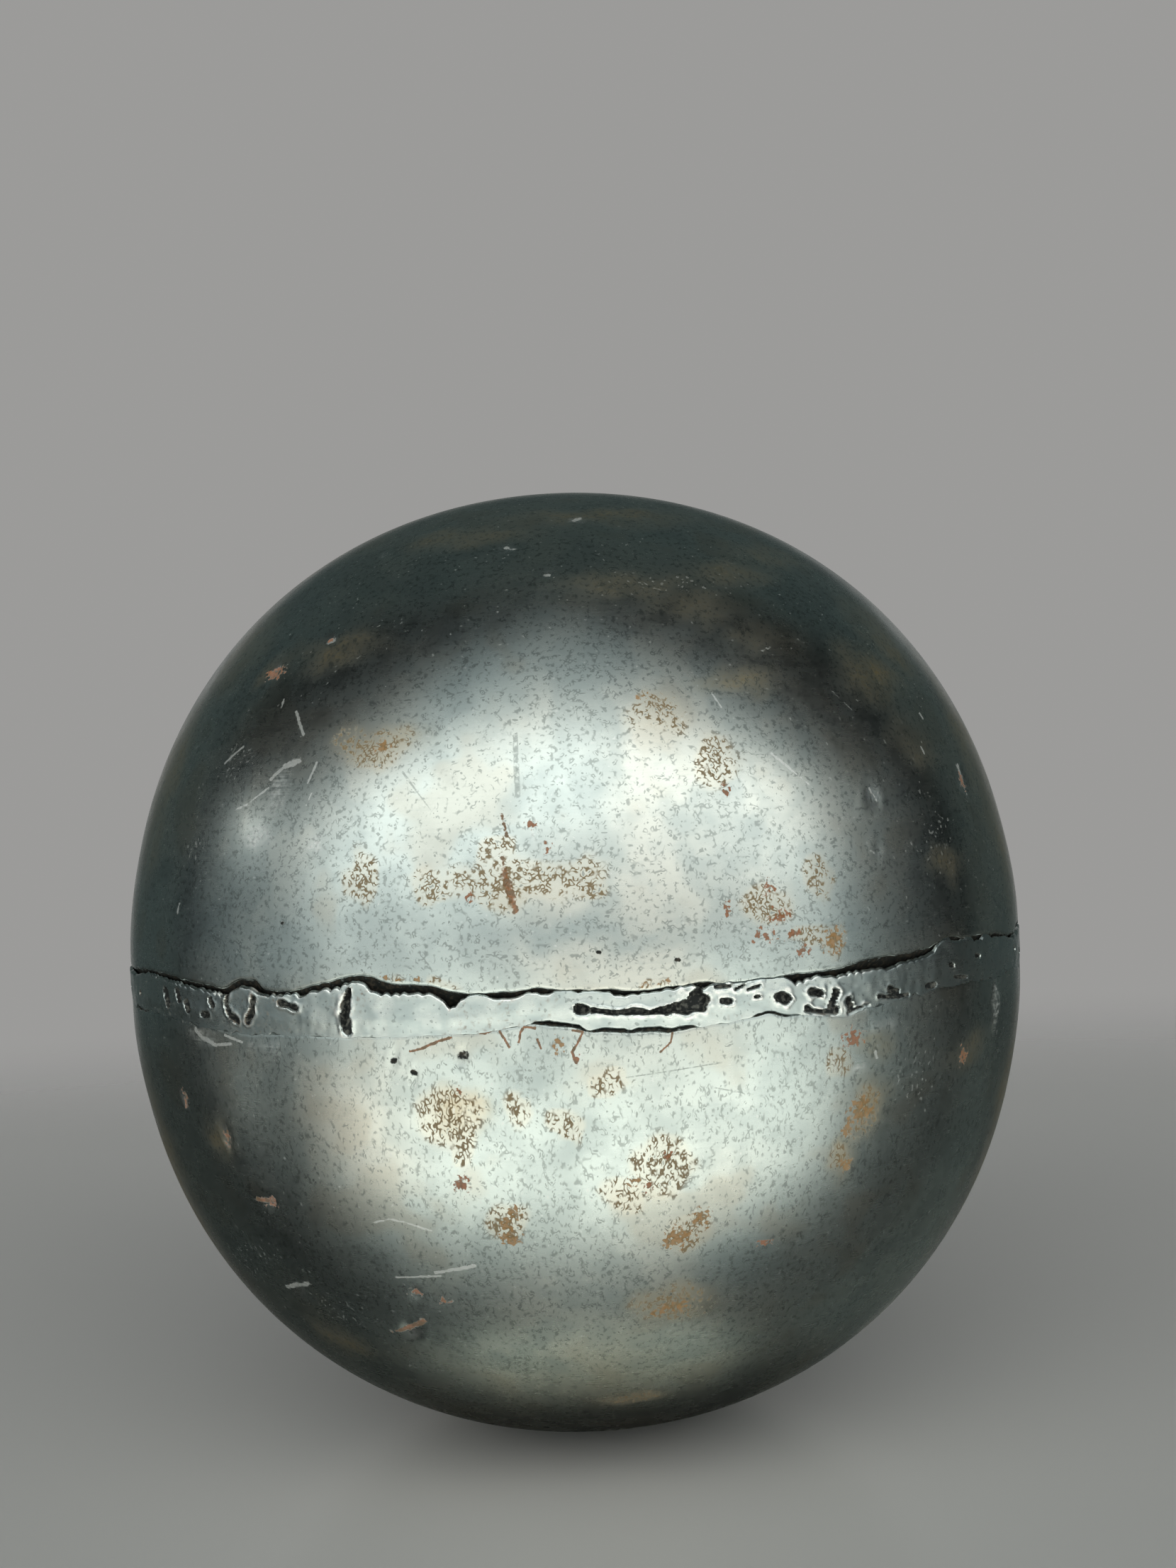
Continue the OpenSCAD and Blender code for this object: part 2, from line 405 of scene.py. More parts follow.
# Dings and holes are (azimuth, latitude, width, depth), with a low raised rim.
# Scabs stand proud: (azimuth, latitude, half width, half height, height). The other lists are marks.
halfShells = {
    "wall": 3.0,
    "rootFace": 0.8,
    "innerStep": 4,  # outer columns to each column of the hidden inner face
    "supportRow": 0.35,  # keeps the shading of the dome apart from that of its rounded edge
    "pressing": 0.4,  # how far the pressed domes leave a true sphere
    "waves": 0.05,
    "rimBlend": 25,  # how far into the dome the rim's rise and fall reaches
    "innerSupport": 0.4,  # where the hidden inner dome starts, above its edge
    "upperRound": (0.06, 0.22),  # rounding of the edge where the seam is closed, and more where it opens
    "lowerRound": (0.004, 0.5),
    "edgeShade": (0.0, 0.1, 0.6),  # painted shade on the first rows of the edge, where the seam is open
    "chipDepth": 0.12,  # dings this deep are fully bared
    "scabHeight": 0.15,
    "softMarks": {"film": 0.1, "haze": 0.2, "rust": 0.0, "grit": 0.0},  # level as far as this share
    # marks of the unseen rear, as how many and how large, then where: (start, span) in degrees
    "rear": {"film": (12, 11), "rust": (16, 5), "ochre": (14, 1.7), "red": (16, 1.3), "haze": (6, 9)},
    "rearTurn": (76, 208),
    "rearRise": (2, 52),
    "upper": {
        "seed": 61,
        "dings": [
            (37, 17, 4.0, 0.12), (36, 11, 2.4, 0.08), (58, 18, 5, 0.2), (-45, 36, 3.4, 0.2),
            (-36, 40, 2.5, 0.15), (-40, 56, 3, 0.15), (-10, 54, 3, 0.15), (-2, 48, 2.5, 0.15),
            (5, 61, 3.5, 0.15), (-3.9, 14.9, 1.8, 0.06),
        ],
        "holes": [(10.3, 1.5, 0.8, 0.12), (2.3, 2.7, 0.7, 0.12), (-33, 6.4, 0.8, 0.12)],
        "scabs": [],
        # scuffed patches; the first two are also painted glints
        "scuffsAndGlints": [(-38.2, 15.6, 4.6, 2.4), (-29.5, 14.4, 2.2, 1.6), (-36, 21, 3.0, 4.5)],
        "grit": [(-45, 24, 9, 5), (-50, 14, 6, 8), (46, 12, 9, 10), (20, 46, 16, 5)],
        "haze": [(-5, 5.8, 10, 3.4), (-1, 5.2, 13, 3.6), (7, 3.0, 8, 2.4), (-6, 20, 3, 6)],
        "film": [
            (11, 46, 16, 5), (21, 42, 12, 6), (31, 48, 12, 5), (29, 37, 9, 5), (23, 31.5, 10, 4),
            (46, 32, 13, 9), (48, 23, 9, 7), (-34, 38, 14, 5), (-23, 26, 11, 5), (-45, 36, 6, 4),
            (48, 8.6, 7, 4), (-66, 22, 12, 22), (44, 52, 14, 6), (68, 18, 12, 32),
            (-20, 58, 16, 6), (8, 62, 24, 7), (56, 38, 10, 12), (-60, 40, 12, 12),
        ],
        "rust": [
            (-6.3, 10.3, 14, 3.8), (-8.2, 13.4, 3.2, 2.6), (-15, 10, 5, 2.8),
            (1.5, 10.2, 4.5, 3.2), (-23.5, 11.8, 3.6, 4.5), (-23, 25.6, 10, 4.6),
            (20.5, 6.5, 5, 3.6), (25, 2.6, 5, 1.8), (11.5, 27.5, 6, 4.5), (17, 22, 5, 5),
            (27.5, 9, 3, 5), (28.5, 2, 3.4, 2.8), (-17, 0.3, 10, 1.2), (7.5, -1.2, 5, 1.0),
        ],
        "ochre": [
            (28.2, 1.9, 2.4, 2.4), (9.6, 29.6, 1.4, 0.7), (-22, 25.4, 1.6, 1.0),
            (-20, 0.5, 1.3, 0.6), (-18.3, 0.3, 1.0, 0.6), (-16.7, 0.3, 1.2, 0.5),
            (-15.2, 0.1, 1.0, 0.5), (6.4, -1.2, 1.2, 0.6), (8.8, -1.0, 1.0, 0.5),
        ],
        "red": [
            (15.9, 6.4, 1.0, 1.6), (20.2, 3.4, 2.2, 1.1), (18.9, 3.3, 0.9, 0.8),
            (23.2, 3.2, 1.4, 0.9), (24.3, 1.5, 1.8, 1.0), (21.8, 5.4, 2.2, 1.1),
            (20.9, 8.2, 1.3, 1.1), (-2.6, 13.9, 1.0, 1.0), (-4.2, 15.9, 1.0, 0.7),
            (-10.8, 8.7, 0.9, 0.7), (17.5, 18.7, 0.8, 1.4), (-44.6, 35.7, 3.0, 1.5),
            (58, 18, 1.1, 2.2), (-36, 40, 1.0, 0.7),
        ],
    },
    "lower": {
        "seed": 71,
        "dings": [
            (-53, 8, 3, 0.25), (-45, 12, 3, 0.25), (-40, 19, 3, 0.2), (-42, 31, 3.5, 0.25),
            (-25, 35, 4, 0.3), (-22, 29, 2.5, 0.2),
        ],
        "holes": [
            (-19.6, 1.7, 1.3, 0.3), (-17.4, 2.9, 1.6, 0.35), (-12.1, 1.1, 1.9, 0.4),
            (-2.0, 9.4, 0.9, 0.15),
        ],
        "scabs": [(58, 2.5, 3.0, 6.0, 0.22), (-36, 1.0, 6.0, 1.6, 0.1), (35, 1.6, 4.5, 1.6, 0.1)],
        "scuffsAndGlints": [(31, 5.8, 2.6, 1.0), (27.6, 5.2, 1.5, 1.2), (-47, 0.2, 5.5, 1.6)],
        "grit": [(-46, 26.5, 13, 5), (-52, 29, 9, 7), (-35, 33, 12, 5), (40, 8, 9, 8)],
        "haze": [(-5.5, 3.6, 7, 5), (-2, 9, 5, 6), (18, 27, 14, 6)],
        "film": [
            (33, 10, 7, 7), (30, 16, 4, 5), (50, 6.6, 10, 4), (70, 18, 14, 30), (-68, 20, 14, 30),
            (7, 49, 9, 4), (10, 31, 9, 5), (-46, 12, 7, 6), (-40, 40, 10, 6), (-13, 7, 6, 5),
            (33, 3, 5, 3),
        ],
        "rust": [
            (-14, 7.5, 6.5, 5.5), (-12.6, 10.5, 2.6, 2.8), (8, 13.8, 5.5, 5.5),
            (4.2, 17, 4.2, 2.8), (-9, 19.8, 4.6, 4.6), (11.5, 21.5, 4.8, 5), (10, 31.5, 9, 4.5),
            (32, 11, 5, 6), (-2, 8.8, 4, 2.6), (7, 49, 7, 3), (30, 16.4, 3, 3), (28, 5, 3.5, 4),
            (2.5, 4.6, 3.6, 2.2), (-7, 7, 2.5, 3),
        ],
        "ochre": [
            (-8.2, 18.5, 1.4, 1.4), (-9.1, 19.8, 1.1, 1.6), (-8.8, 21.4, 2.0, 1.4),
            (9.8, 22.4, 2.8, 2.2), (12.6, 20.4, 1.8, 2.2), (31.6, 10.3, 2.8, 2.2),
            (29.9, 12.3, 1.5, 1.5), (30.3, 16.4, 1.5, 1.3), (10.5, 31.6, 2.6, 1.3),
            (8.1, 32.3, 1.6, 1.1), (-2.2, 0.3, 1.2, 1.2), (5.0, 15.1, 1.2, 1.0),
        ],
        "red": [
            (-13.5, 15.0, 1.5, 1.5), (-12.8, 4.8, 0.7, 1.0), (-0.5, 2.0, 0.7, 0.8),
            (30.3, 2.3, 2.4, 1.8), (6.7, 16.1, 1.0, 1.0), (21.1, 24.5, 2.2, 0.7),
            (49.1, 6.8, 1.6, 2.0), (-18.5, 30, 1.3, 0.9), (8.7, 12.6, 1.0, 1.2),
            (-53, 8, 0.9, 1.8), (-45, 12, 0.9, 1.6), (-40, 19, 2.4, 0.9), (-22, 29, 1.3, 1.0),
        ],
    },
}


innerR = ballR - halfShells["wall"]
footR = innerR + halfShells["rootFace"]  # where the bevel of the weld edge ends


# how far each place lies from a path of (azimuth, height, width), as a share of the path's width there
def pathShare(azimuths, heights, path):
    least = np.full(np.shape(azimuths), np.inf)
    for (startAz, startZ, startWidth), (endAz, endZ, endWidth) in zip(path, path[1:]):
        x = wrapTurn(azimuths - startAz) * perDegree
        z = heights - startZ
        runX, runZ = (endAz - startAz) * perDegree, endZ - startZ
        share = np.clip((x * runX + z * runZ) / (runX * runX + runZ * runZ), 0, 1)
        away = np.hypot(x - share * runX, z - share * runZ)
        least = np.minimum(least, away / (startWidth + (endWidth - startWidth) * share))
    return least


# the pressed domes stand off a true sphere by turns outward and inward; the lower one's foot stays true
def pressedForm(side, latitudes):
    ends = smooth(0, 15, latitudes) * (1.0 if side > 0 else 1 - smooth(62, 84, latitudes))
    return halfShells["pressing"] * np.cos(np.radians(4 * (latitudes - 48))) * ends


def dingForm(azimuths, latitudes, places, dings):
    form = np.zeros(len(azimuths))
    for index, (azimuth, latitude, width, depth) in enumerate(dings):
        away = np.hypot(*overDome(azimuths, latitudes, azimuth, latitude)) * 2 / width
        near = np.flatnonzero(away < 2.2)
        ragged = away[near] * (1 + 0.45 * lumps(places[near], 1.7, index))
        rim = 0.35 * np.exp(-((ragged - 1.15) / 0.22) ** 2)
        form[near] += depth * (rim - (1 - smooth(0.35, 1.05, ragged)))
    return form


def scabForm(azimuths, latitudes, places, scabs):
    form = np.zeros(len(azimuths))
    for azimuth, latitude, halfWidth, halfHeight, height in scabs:
        field = markField(azimuths, latitudes, [(azimuth, latitude, halfWidth, halfHeight)], 0.0)
        near = np.flatnonzero(field > 0)
        ragged = field[near] + 0.5 * lumps(places[near], 2.4, 7)
        form[near] += height * smooth(0.25, 0.5, ragged) * (0.7 + 0.3 * lumps(places[near], 1.3, 8))
    return form


# the marks of one kind: those read along the front and some more round the rear
def allMarks(look, kind):
    count, size = halfShells["rear"].get(kind, (0, 0))
    draw = np.random.default_rng(look["seed"] + len(kind)).uniform(0, 1, (count, 4))
    firstTurn, turnSpan = halfShells["rearTurn"]
    firstRise, riseSpan = halfShells["rearRise"]
    rear = []
    for a, b, c, d in draw:
        azimuth, latitude = firstTurn + turnSpan * a, firstRise + riseSpan * b * b
        rear.append((azimuth, latitude, size * (0.5 + c), size * (0.4 + 0.7 * d)))
    return look[kind] + rear


# a dome over a disc, its rim lifted: arc from the end of the straight skirt, slope and height
def domeForm(radius, reach, lift):
    arc = radius * (math.pi / 2 - np.arccos(np.clip(1 - reach * reach, 0, 1)))
    arc = arc + lift * (1 - smooth(0, halfShells["rimBlend"], arc))
    slope = np.maximum(arc, 0) / radius
    return arc, slope, skirtTop + np.minimum(arc, 0) + radius * np.sin(slope)


# One pressed half, built dome up and turned over for the lower one
def makeHalf(name, side, edge, edgeRound, opening, look):
    sides = rimCount // 4
    reach, azimuths = discGrid(sides)
    support = halfShells["supportRow"]
    lift = np.interp(azimuths, rimAzimuths, edge + edgeRound + support - skirtTop, period=360)
    arc, slope, skinHeight = domeForm(ballR, reach, lift)
    latitudes = np.degrees(arc / ballR)  # goes on below 0 along the straight skirt
    direction = ringPoints(azimuths, np.cos(slope), side * np.sin(slope))
    skin = ringPoints(azimuths, ballR * np.cos(slope), side * skinHeight)

    dings = dingForm(azimuths, latitudes, skin, look["dings"])
    holes = dingForm(azimuths, latitudes, skin, look["holes"])
    scabs = scabForm(azimuths, latitudes, skin, look["scabs"])
    waves = halfShells["waves"] * lumps(skin, 32, 11 + side) * smooth(0, 8, latitudes)
    form = pressedForm(side, latitudes) + waves + dings + holes + scabs
    skin = skin + direction * form[:, None]

    edgeR = ballR - edgeRound
    rows = [
        (ballR, edge + edgeRound),
        (ballR - 0.3 * edgeRound, edge + 0.3 * edgeRound),
        (edgeR, edge),
        ((edgeR + footR) / 2, (edge + rootHalf) / 2),
        (footR, rootHalf),
        (innerR, rootHalf),
    ]
    bands = [ringPoints(rimAzimuths, radius, side * height) for radius, height in rows]

    innerSides = sides // halfShells["innerStep"]
    innerReach, innerAzimuths = discGrid(innerSides)
    innerLift = rootHalf + halfShells["innerSupport"] - skirtTop
    innerSlope, innerHeight = domeForm(innerR, innerReach, innerLift)[1:]
    inner = ringPoints(innerAzimuths, innerR * np.cos(innerSlope), side * innerHeight)

    points = np.concatenate([skin, *bands, inner])
    firstBand = len(skin)
    firstInner = firstBand + len(rows) * rimCount
    skinNumbers = discNumbers(sides, 0)
    innerNumbers = discNumbers(innerSides, firstInner)
    loops = [discRim(skinNumbers)]
    loops += [np.arange(rimCount) + firstBand + index * rimCount for index in range(len(rows))]
    faces = [gridFaces(skinNumbers), gridFaces(innerNumbers)[:, ::-1]]
    faces += [bandFaces(upper, lower) for upper, lower in zip(loops, loops[1:])]
    faces += fanFaces(loops[-1], discRim(innerNumbers), halfShells["innerStep"])
    faces = [face for group in faces for face in (group if side > 0 else group[:, ::-1]).tolist()]

    hidden = np.zeros(len(points) - len(skin))
    # painted shade: full on the hidden faces, and on the first rows of the edge where the seam is open
    shadedEdgeRows = np.ones(len(points) - len(skin))
    for row, shade in enumerate(halfShells["edgeShade"]):
        shadedEdgeRows[row * rimCount:(row + 1) * rimCount] = shade * opening
    sway = 1.6 * lumps(skin, 8, 31) + 1.0 * lumps(skin, 3, 32)
    swayed = 1.6 * lumps(skin, 8, 33) + 1.0 * lumps(skin, 3, 34)
    fields = {}
    for kind, core in halfShells["softMarks"].items():
        fields[kind] = markField(azimuths + sway, latitudes + swayed, allMarks(look, kind), core)
    for kind in ("ochre", "red"):
        fields[kind] = markField(azimuths, latitudes, allMarks(look, kind), None)
    fields["chip"] = np.clip(-dings / halfShells["chipDepth"], 0, 1)
    # scuffed patches, some of them painted brighter as glints
    scuffsAndGlints = markField(azimuths + sway / 3, latitudes + swayed / 3, look["scuffsAndGlints"], 0.2)
    fields["scabAndGlint"] = np.maximum(np.clip(scabs / halfShells["scabHeight"], 0, 1), scuffsAndGlints)
    fields = {key: np.concatenate([values, hidden]) for key, values in fields.items()}
    fields["hollow"] = np.concatenate([0 * azimuths, shadedEdgeRows])
    return newMesh(name, points, faces, fields)


# joins a rim of many columns to one of few, step to one
def fanFaces(many, few, step):
    first = many.reshape(-1, step)
    following = np.roll(many, -1).reshape(-1, step)
    after = np.roll(few, -1)
    middle = step // 2
    groups = []
    for column in range(step):
        hub = few if column < middle else after
        groups.append(np.stack([first[:, column], hub, following[:, column]], axis=1))
    groups.append(np.stack([first[:, middle], few, after], axis=1))
    return groups


closedRound, openRound = halfShells["upperRound"]
upperRound = closedRound + openRound * smooth(leastGap, 0.4, upperGap)
closedRound, openRound = halfShells["lowerRound"]
lowerRound = closedRound + openRound * lowerSlit
upperOpening = smooth(leastGap, 0.25, upperGap)
lowerOpening = smooth(0.02, 0.2, lowerSlit)
upperHalf = makeHalf(
    "upper_half_shell.pressed", 1, upperEdge, upperRound, upperOpening, halfShells["upper"]
)
lowerHalf = makeHalf(
    "lower_half_shell.pressed", -1, -lowerToe, lowerRound, lowerOpening, halfShells["lower"]
)
print("half shells:", len(upperHalf.data.polygons), "and", len(lowerHalf.data.polygons), "faces")


# The bead. Pores are paths of (azimuth, height, width)
bead = {
    "rows": 36,
    "lip": 0.5,
    "poreRim": 0.1,
    "creviceDepth": 1.5,
    "clear": 0.008,
    "toeRound": 0.002,
    "shadeDepth": (0.55, 0.12),  # depth at which a pore is painted black as shade, in the middle and towards both sides
    "rearPores": 34,
    "rearTurn": (62, 236),  # the pores of the unseen rear start here and spread this far
    "rearSeed": 5,
    "pores": [
        [(-54.9, 1.0, 1.9), (-54.4, 0.0, 1.7)], [(-51.6, 1.6, 1.3), (-51.3, 0.7, 1.2)],
        [(-49.7, 0.3, 1.5), (-49.4, -0.7, 1.3)], [(-46.3, -1.3, 0.8), (-45.2, -1.2, 0.8)],
        [(-44.7, 1.1, 1.1), (-44.3, 0.3, 1.0)],
        [(-41.4, 2.6, 0.9), (-41.8, 0.8, 0.8), (-41.3, -1.0, 0.9), (-40.0, -1.6, 0.9)],
        [(-37.3, 1.7, 1.0), (-37.5, -0.1, 1.1), (-38.4, -1.5, 0.9)],
        [(-33.3, 1.3, 0.8), (-32.2, 1.0, 0.7), (-31.2, 0.7, 0.8)],
        [(-24.3, 3.3, 0.6), (-24.6, 1.9, 1.3), (-25.0, 0.0, 1.6), (-24.9, -2.2, 1.3)],
        [(0.0, 0.3, 1.4), (0.5, 0.1, 1.2)],
        [(1.5, -0.1, 0.8), (3.4, -0.5, 0.6), (5.5, -0.5, 0.9), (7.3, -0.8, 0.7), (9.5, -0.5, 1.1)],
        [(7.6, -0.7, 0.8), (9.5, -0.45, 1.4), (10.6, -0.2, 2.0), (11.7, 0.1, 2.6), (12.5, 0.1, 2.2)],
        [(11.6, 0.2, 1.5), (12.3, 1.6, 0.9), (12.8, 2.2, 0.5)],
        [(14.2, 2.0, 0.45), (15.7, 1.95, 0.4)], [(16.3, 1.45, 0.4), (17.2, 1.95, 0.4)],
        [(17.6, 1.25, 0.4), (18.9, 1.65, 0.4)], [(14.8, 0.0, 0.6), (15.7, -0.1, 0.6)],
        [(18.5, 0.2, 0.5), (18.8, 0.2, 0.5)],
        [(20.9, -0.1, 1.2), (21.5, -0.3, 1.6), (22.0, -0.5, 1.3)],
        [(25.1, 0.0, 1.2), (26.2, -0.4, 1.2)], [(28.0, -0.4, 1.1), (27.3, -2.2, 1.0)],
        [(24.4, -2.1, 0.8), (25.0, -2.6, 0.7), (26.0, -2.8, 0.6), (27.4, -3.0, 0.9), (28.0, -2.9, 1.0)],
        [(29.7, -1.7, 1.3), (30.1, -3.5, 1.3), (31.2, -3.1, 0.9), (32.4, -2.9, 0.7)],
        [(33.9, -1.8, 0.5), (36.0, -2.1, 0.6), (38.3, -2.3, 0.6)],
        [(35.4, -1.0, 0.9), (36.7, -1.5, 0.9)], [(41.6, -1.5, 0.8), (43.0, -1.5, 0.7)],
        [(46.0, 0.9, 0.7), (46.8, 0.7, 0.7)], [(47.0, -1.0, 0.5), (49.7, -1.4, 0.5)],
        [(52.0, 1.4, 0.8), (53.2, 1.1, 0.7)],
    ],
}


def rearPores():
    draw = np.random.default_rng(bead["rearSeed"]).uniform(-1, 1, (bead["rearPores"], 5))
    firstTurn, turnSpan = bead["rearTurn"]
    spacing = turnSpan / bead["rearPores"]
    paths = []
    for index, (shift, height, width, turn, length) in enumerate(draw):
        azimuth = firstTurn + spacing * (index + 0.5 + 0.4 * shift)
        start = (azimuth, 1.3 * height - 0.4, 0.9 + 0.4 * width)
        end = (azimuth + 0.9 + 0.6 * length, start[1] + 0.9 * turn, 0.8 + 0.3 * width)
        paths.append([start, end])
    return paths


# how deep each place of the bead lies in a pore, and how near it is to a pore's raised rim
def poreDepth(azimuths, heights, ragged, room):
    depth = np.zeros(azimuths.shape)
    rim = np.zeros(azimuths.shape)
    for path in bead["pores"] + rearPores():
        width = np.mean([place[2] for place in path])
        away = pathShare(azimuths, heights, path) / (1 + ragged)
        depth = np.maximum(depth, min(0.95 * width, 1.4) * (1 - smooth(0.28, 0.54, away)))
        rim = np.maximum(rim, np.exp(-((away * width - 0.55 * width - 0.2) / 0.22) ** 2))
    return np.minimum(depth, room), rim


def doubled(line):
    halfway = (line + np.roll(line, -1)) / 2
    return np.stack([line, halfway], axis=1).ravel()


# how far a rounded corner has fallen, this far from its end
def cornerDrop(radius, away):
    return radius * (1 - np.sqrt(1 - (1 - np.clip(away / radius, 0, 1)) ** 2))


def makeBead():
    count = rimCount * 2
    azimuths = wrapTurn(rimStart + np.arange(count) * 360 / count)
    edge, gap, toe, slit = (doubled(line) for line in (upperEdge, upperGap, lowerToe, lowerSlit))
    deep = lineAt(azimuths, seamLook["lobes"]) * smooth(leastGap, 0.3, gap)
    phase = azimuths * perDegree / seamLook["lobePitch"] + lumps(ringPoints(azimuths, ballR, 0.0), 5, 41)
    uneven = 1 + 1.6 * lumps(ringPoints(azimuths, ballR, 0.0), 2.2, 42)
    gap = gap + deep * (0.5 - np.abs(np.sin(math.pi * phase))) * uneven
    gap = np.maximum(gap, leastGap)
    clear = bead["clear"]
    upperR = ballR - doubled(upperRound)  # where the rounded edge of the upper half ends

    def upperBevel(radius):
        return edge + (rootHalf - edge) * (upperR - radius) / (upperR - footR)

    def lowerBevel(radius):
        return toe + (-rootHalf - toe) * (ballR - radius) / (ballR - footR)

    # outer face, from the lower toe to the lip of the crevice
    lipZ = edge - gap
    toeZ = toe + slit + clear
    share = np.linspace(0, 1, bead["rows"])[:, None]
    height = toeZ + (lipZ - toeZ) * share
    turns = np.broadcast_to(azimuths, height.shape)
    flat = ringPoints(turns, ballR, height).reshape(-1, 3)
    unevenness = [lumps(flat, size, seed) for size, seed in ((6.5, 21), (2.6, 22), (1.0, 23))]
    coarse, middle, fine = (values.reshape(height.shape) for values in unevenness)
    fromToe = height - toeZ
    fromLip = lipZ - height
    lip = np.minimum(bead["lip"], 0.06 + 0.8 * gap)
    rise = beadProud * smooth(0, 2.6, fromToe) * (0.6 + 0.35 * coarse + 0.18 * middle)
    rise = np.minimum(rise, beadProud) + 0.025 * fine * smooth(0.1, 0.7, fromToe)
    room = np.maximum(0.62 * np.minimum(fromToe / 1.2, 1.9), 0)
    pores, rims = poreDepth(turns, height, 0.5 * middle + 0.45 * fine, room)
    faded = np.maximum(smooth(31, 37, azimuths), smooth(42, 47, -azimuths))  # plainer towards both sides
    rise = rise + bead["poreRim"] * rims * smooth(0.2, 1.0, fromToe) * (1 - 0.85 * faded)
    outerR = np.minimum(ballR + rise, ballR + beadProud) - cornerDrop(lip, fromLip)
    outerR = outerR - cornerDrop(bead["toeRound"] + slit, fromToe) - pores
    section = list(zip(outerR, height))
    # painted shade: the deeper a pore or the crevice, the darker
    middleDepth, sideDepth = bead["shadeDepth"]
    hollow = list(np.clip(pores / (middleDepth + (sideDepth - middleDepth) * faded), 0, 1))

    # crevice wall, then the hidden faces along the groove and across the root
    depth = 0.35 + bead["creviceDepth"] * smooth(0.2, 1.0, gap)
    for part in (0.3, 0.6, 1.0):
        radius = outerR[-1] - depth * part
        section.append((radius, upperBevel(radius) - gap * (1 - 0.25 * part)))
        hollow.append(min(1.0, 0.3 + part) * smooth(leastGap, 0.2, gap))
    bedR = np.maximum(section[-1][0] - 0.35, footR + 0.1)
    back = [(bedR, upperBevel(bedR) - clear)]
    back += [(footR, rootHalf - clear), (innerR, rootHalf - clear), (innerR - 0.5, 0.0)]
    back += [(innerR, clear - rootHalf), (footR, clear - rootHalf)]
    slitR = outerR[0] - 0.15 - 1.6 * slit
    back += [(slitR - 0.2, lowerBevel(slitR - 0.2) + clear)]
    back += [(slitR, lowerBevel(slitR) + clear + 0.6 * slit)]
    section += back
    hollow += [np.ones(count)] * len(back)

    rings = [ringPoints(azimuths, radius, height) for radius, height in section]
    numbers = np.arange(len(rings) * count).reshape(len(rings), count)
    faces = [bandFaces(numbers[(index + 1) % len(rings)], numbers[index]) for index in range(len(rings))]
    faces = [face for group in faces for face in group.tolist()]
    # bare ground metal on the lip and pore rims, brightened as a painted highlight
    bareAndHighlight = np.maximum(rims, np.exp(-(fromLip / 0.45) ** 2) * smooth(0.15, 0.5, gap))
    bareAndHighlight = bareAndHighlight * (1 - np.clip(pores / 0.3, 0, 1)) * (1 - 0.9 * faded)
    hidden = np.zeros((len(rings) - bead["rows"]) * count)
    fields = {"hollow": np.concatenate(hollow), "bareAndHighlight": np.concatenate([bareAndHighlight.ravel(), hidden])}
    return newMesh("weld_bead.ground", np.concatenate(rings), faces, fields)


weldBead = makeBead()
print("weld bead:", len(weldBead.data.polygons), "faces")


